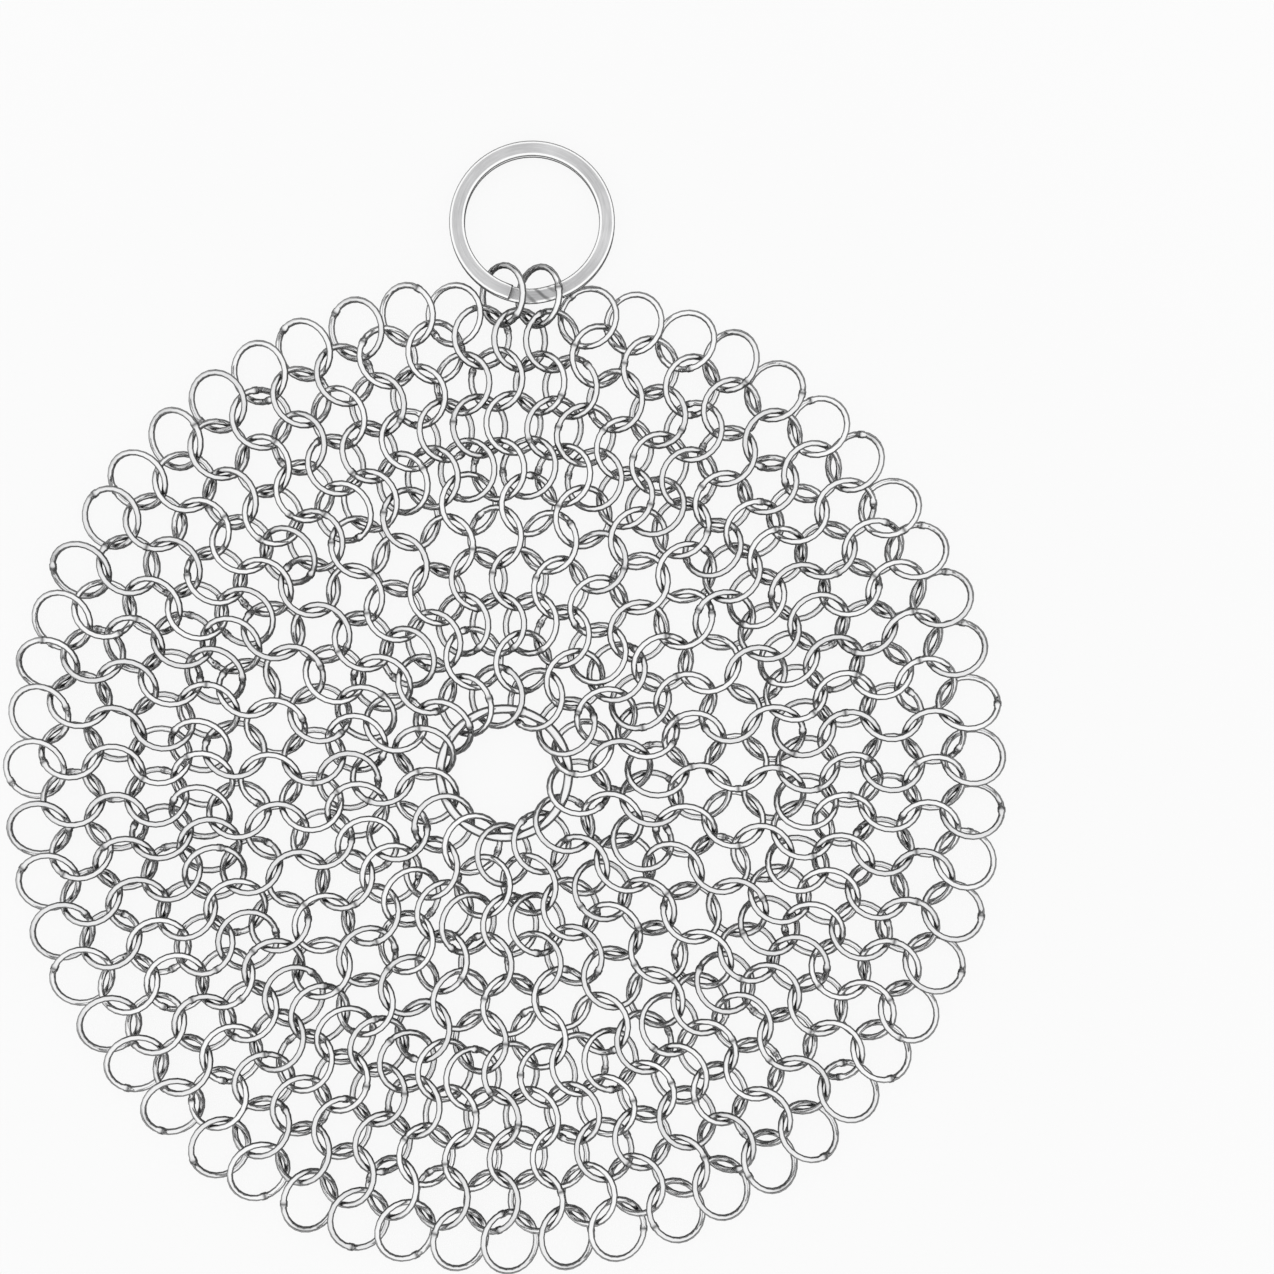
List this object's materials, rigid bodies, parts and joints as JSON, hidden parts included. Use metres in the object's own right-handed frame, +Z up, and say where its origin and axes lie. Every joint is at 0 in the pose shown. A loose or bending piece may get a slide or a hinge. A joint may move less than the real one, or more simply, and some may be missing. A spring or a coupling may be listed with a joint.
{
  "type": "pot scrubber",
  "caption": "Round chain-mail pot scrubber of interlinked steel rings about a centre ring, with two link rings and a split ring to hang it by; its rows of rings roll up.",
  "frame": {"origin": "under the centre ring's middle, on the surface that the mail lies flat on", "axes": "+Z up from that surface, +Y from the centre towards the hang ring, +X to the right seen from above"},
  "size_m": [0.1673, 0.1891, 0.0081],
  "materials": {
    "ring_steel": "polished",
    "centre_ring_steel": "polished",
    "split_ring_steel": "satin"
  },
  "bodies": {
    "core": {"mail_core": "ring_steel"},
    "centre_ring": {"centre_ring": "centre_ring_steel"},
    "upper_row_01": {"mail_upper_row_01": "ring_steel"},
    "upper_row_02": {"mail_upper_row_02": "ring_steel"},
    "upper_row_03": {"mail_upper_row_03": "ring_steel"},
    "upper_row_04": {"mail_upper_row_04": "ring_steel"},
    "upper_row_05": {"mail_upper_row_05": "ring_steel"},
    "upper_row_06": {"mail_upper_row_06": "ring_steel"},
    "upper_row_07": {"mail_upper_row_07": "ring_steel"},
    "upper_row_08": {"mail_upper_row_08": "ring_steel"},
    "upper_row_09": {"mail_upper_row_09": "ring_steel"},
    "upper_row_10": {"mail_upper_row_10": "ring_steel"},
    "lower_row_01": {"mail_lower_row_01": "ring_steel"},
    "lower_row_02": {"mail_lower_row_02": "ring_steel"},
    "lower_row_03": {"mail_lower_row_03": "ring_steel"},
    "lower_row_04": {"mail_lower_row_04": "ring_steel"},
    "lower_row_05": {"mail_lower_row_05": "ring_steel"},
    "lower_row_06": {"mail_lower_row_06": "ring_steel"},
    "lower_row_07": {"mail_lower_row_07": "ring_steel"},
    "lower_row_08": {"mail_lower_row_08": "ring_steel"},
    "lower_row_09": {"mail_lower_row_09": "ring_steel"},
    "lower_row_10": {"mail_lower_row_10": "ring_steel"},
    "link_rings": {"link_ring_left": "ring_steel", "link_ring_right": "ring_steel"},
    "hang_ring": {"hang_ring": "split_ring_steel"}
  },
  "joints": [
    {"name": "upper_row_01_roll", "type": "hinge", "parent": "core", "child": "upper_row_01", "pos_m": [0, 0.017, 0.00272], "axis": [1, 0, 0], "range_deg": [-6, 6]},
    {"name": "upper_row_02_roll", "type": "hinge", "parent": "upper_row_01", "child": "upper_row_02", "pos_m": [0, 0.023, 0.00272], "axis": [1, 0, 0], "range_deg": [-6, 6]},
    {"name": "upper_row_03_roll", "type": "hinge", "parent": "upper_row_02", "child": "upper_row_03", "pos_m": [0, 0.029, 0.00272], "axis": [1, 0, 0], "range_deg": [-6, 6]},
    {"name": "upper_row_04_roll", "type": "hinge", "parent": "upper_row_03", "child": "upper_row_04", "pos_m": [0, 0.035, 0.00272], "axis": [1, 0, 0], "range_deg": [-6, 6]},
    {"name": "upper_row_05_roll", "type": "hinge", "parent": "upper_row_04", "child": "upper_row_05", "pos_m": [0, 0.041, 0.00272], "axis": [1, 0, 0], "range_deg": [-6, 6]},
    {"name": "upper_row_06_roll", "type": "hinge", "parent": "upper_row_05", "child": "upper_row_06", "pos_m": [0, 0.049, 0.00272], "axis": [1, 0, 0], "range_deg": [-6, 6]},
    {"name": "upper_row_07_roll", "type": "hinge", "parent": "upper_row_06", "child": "upper_row_07", "pos_m": [0, 0.055, 0.00272], "axis": [1, 0, 0], "range_deg": [-6, 6]},
    {"name": "upper_row_08_roll", "type": "hinge", "parent": "upper_row_07", "child": "upper_row_08", "pos_m": [0, 0.061, 0.00272], "axis": [1, 0, 0], "range_deg": [-6, 6]},
    {"name": "upper_row_09_roll", "type": "hinge", "parent": "upper_row_08", "child": "upper_row_09", "pos_m": [0, 0.067, 0.00272], "axis": [1, 0, 0], "range_deg": [-6, 6]},
    {"name": "upper_row_10_roll", "type": "hinge", "parent": "upper_row_09", "child": "upper_row_10", "pos_m": [0, 0.073, 0.00272], "axis": [1, 0, 0], "range_deg": [-6, 6]},
    {"name": "lower_row_01_roll", "type": "hinge", "parent": "core", "child": "lower_row_01", "pos_m": [0, -0.017, 0.00272], "axis": [-1, 0, 0], "range_deg": [-6, 6]},
    {"name": "lower_row_02_roll", "type": "hinge", "parent": "lower_row_01", "child": "lower_row_02", "pos_m": [0, -0.023, 0.00272], "axis": [-1, 0, 0], "range_deg": [-6, 6]},
    {"name": "lower_row_03_roll", "type": "hinge", "parent": "lower_row_02", "child": "lower_row_03", "pos_m": [0, -0.029, 0.00272], "axis": [-1, 0, 0], "range_deg": [-6, 6]},
    {"name": "lower_row_04_roll", "type": "hinge", "parent": "lower_row_03", "child": "lower_row_04", "pos_m": [0, -0.035, 0.00272], "axis": [-1, 0, 0], "range_deg": [-6, 6]},
    {"name": "lower_row_05_roll", "type": "hinge", "parent": "lower_row_04", "child": "lower_row_05", "pos_m": [0, -0.041, 0.00272], "axis": [-1, 0, 0], "range_deg": [-6, 6]},
    {"name": "lower_row_06_roll", "type": "hinge", "parent": "lower_row_05", "child": "lower_row_06", "pos_m": [0, -0.049, 0.00272], "axis": [-1, 0, 0], "range_deg": [-6, 6]},
    {"name": "lower_row_07_roll", "type": "hinge", "parent": "lower_row_06", "child": "lower_row_07", "pos_m": [0, -0.055, 0.00272], "axis": [-1, 0, 0], "range_deg": [-6, 6]},
    {"name": "lower_row_08_roll", "type": "hinge", "parent": "lower_row_07", "child": "lower_row_08", "pos_m": [0, -0.061, 0.00272], "axis": [-1, 0, 0], "range_deg": [-6, 6]},
    {"name": "lower_row_09_roll", "type": "hinge", "parent": "lower_row_08", "child": "lower_row_09", "pos_m": [0, -0.067, 0.00272], "axis": [-1, 0, 0], "range_deg": [-6, 6]},
    {"name": "lower_row_10_roll", "type": "hinge", "parent": "lower_row_09", "child": "lower_row_10", "pos_m": [0, -0.073, 0.00272], "axis": [-1, 0, 0], "range_deg": [-6, 6]},
    {"name": "link_rings_swing", "type": "hinge", "parent": "upper_row_09", "child": "link_rings", "pos_m": [0, 0.076, 0.00375], "axis": [1, 0, 0], "range_deg": [-5, 5]},
    {"name": "hang_ring_swing", "type": "hinge", "parent": "link_rings", "child": "hang_ring", "pos_m": [0, 0.0795, 0.004], "axis": [1, 0, 0], "range_deg": [0, 100]},
    {"name": "centre_ring_spin", "type": "hinge", "parent": "core", "child": "centre_ring", "pos_m": [0, 0, 0.00295], "axis": [0, 0, 1], "continuous": true}
  ],
  "couplings": [
    {"joint": "upper_row_02_roll", "follows": "upper_row_01_roll", "ratio": 1},
    {"joint": "upper_row_03_roll", "follows": "upper_row_01_roll", "ratio": 1},
    {"joint": "upper_row_04_roll", "follows": "upper_row_01_roll", "ratio": 1},
    {"joint": "upper_row_05_roll", "follows": "upper_row_01_roll", "ratio": 1},
    {"joint": "upper_row_07_roll", "follows": "upper_row_06_roll", "ratio": 1},
    {"joint": "upper_row_08_roll", "follows": "upper_row_06_roll", "ratio": 1},
    {"joint": "upper_row_09_roll", "follows": "upper_row_06_roll", "ratio": 1},
    {"joint": "upper_row_10_roll", "follows": "upper_row_06_roll", "ratio": 1},
    {"joint": "lower_row_02_roll", "follows": "lower_row_01_roll", "ratio": 1},
    {"joint": "lower_row_03_roll", "follows": "lower_row_01_roll", "ratio": 1},
    {"joint": "lower_row_04_roll", "follows": "lower_row_01_roll", "ratio": 1},
    {"joint": "lower_row_05_roll", "follows": "lower_row_01_roll", "ratio": 1},
    {"joint": "lower_row_07_roll", "follows": "lower_row_06_roll", "ratio": 1},
    {"joint": "lower_row_08_roll", "follows": "lower_row_06_roll", "ratio": 1},
    {"joint": "lower_row_09_roll", "follows": "lower_row_06_roll", "ratio": 1},
    {"joint": "lower_row_10_roll", "follows": "lower_row_06_roll", "ratio": 1}
  ]
}
